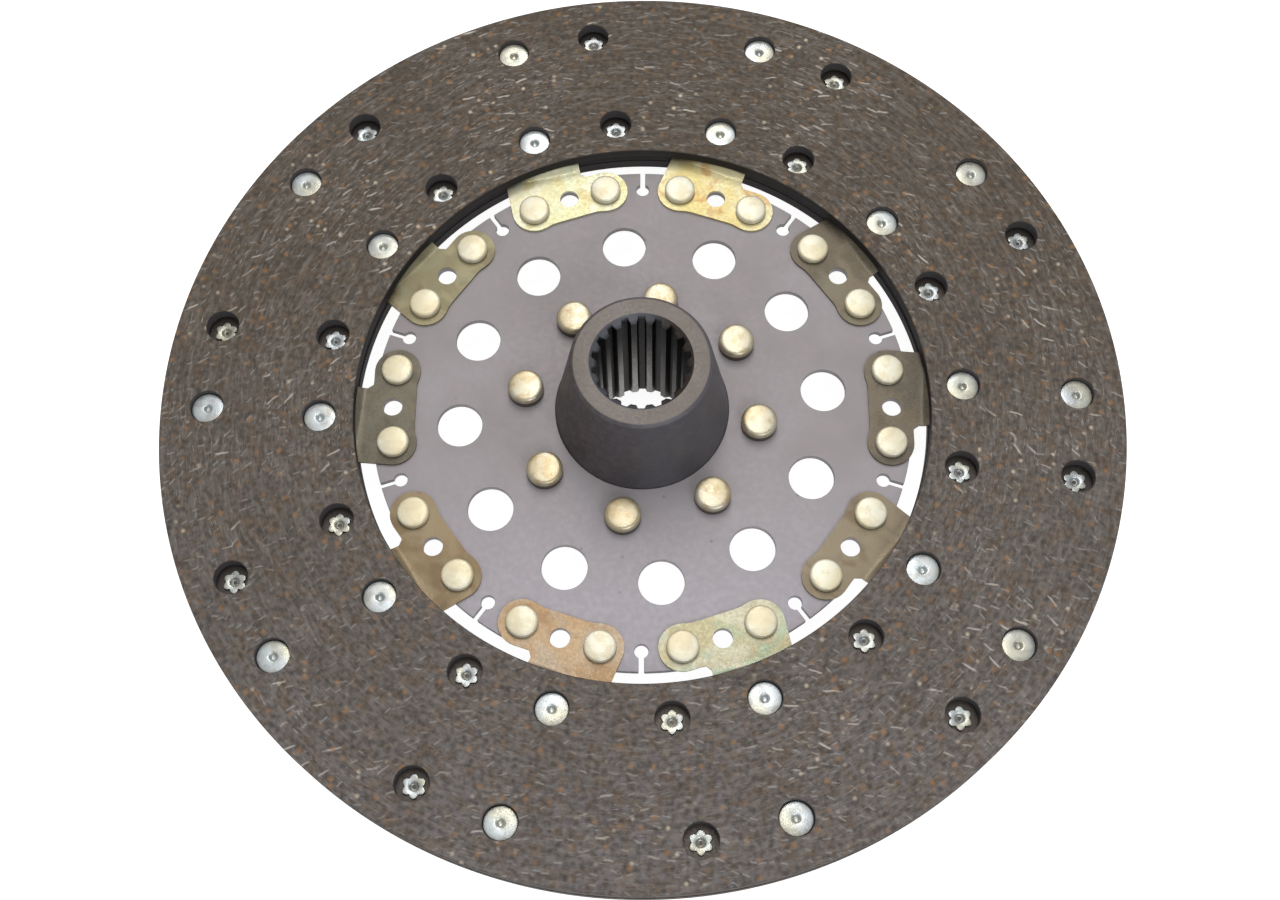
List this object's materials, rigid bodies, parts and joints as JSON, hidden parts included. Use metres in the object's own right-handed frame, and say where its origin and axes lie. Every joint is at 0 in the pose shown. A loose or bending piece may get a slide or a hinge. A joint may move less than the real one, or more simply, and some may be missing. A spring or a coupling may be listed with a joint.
{
  "type": "clutch disc",
  "caption": "Rigid clutch disc: splined hub, riveted carrier plate and waved cushion segments between two friction facings.",
  "frame": {"origin": "on the spline axis, midway between the two friction facings", "axes": "+Z along the spline axis towards the long hub boss; +Y through one keyhole of the carrier plate"},
  "size_m": [0.35, 0.35, 0.065],
  "materials": {
    "hub_steel": "dark forged steel, turned end faces",
    "carrier_steel": "matt grey phosphate",
    "segment_steel": "yellow passivated spring steel",
    "friction_material": "ground moulded friction material with brass and glass fibres",
    "facing_rivet_metal": "plated tubular rivets",
    "plated_rivet": "yellow passivated zinc"
  },
  "bodies": {
    "root": {"hub": "hub_steel", "carrier_plate": "carrier_steel", "cushion_segment_01": "segment_steel", "cushion_segment_02": "segment_steel", "cushion_segment_03": "segment_steel", "cushion_segment_04": "segment_steel", "cushion_segment_05": "segment_steel", "cushion_segment_06": "segment_steel", "cushion_segment_07": "segment_steel", "cushion_segment_08": "segment_steel", "cushion_segment_09": "segment_steel", "cushion_segment_10": "segment_steel", "facing_front": "friction_material", "facing_rear": "friction_material", "facing_rivets_front_outer": "facing_rivet_metal", "facing_rivets_front_inner": "facing_rivet_metal", "facing_rivets_rear_outer": "facing_rivet_metal", "facing_rivets_rear_inner": "facing_rivet_metal", "segment_rivets": "plated_rivet", "hub_rivets": "plated_rivet"}
  },
  "joints": []
}
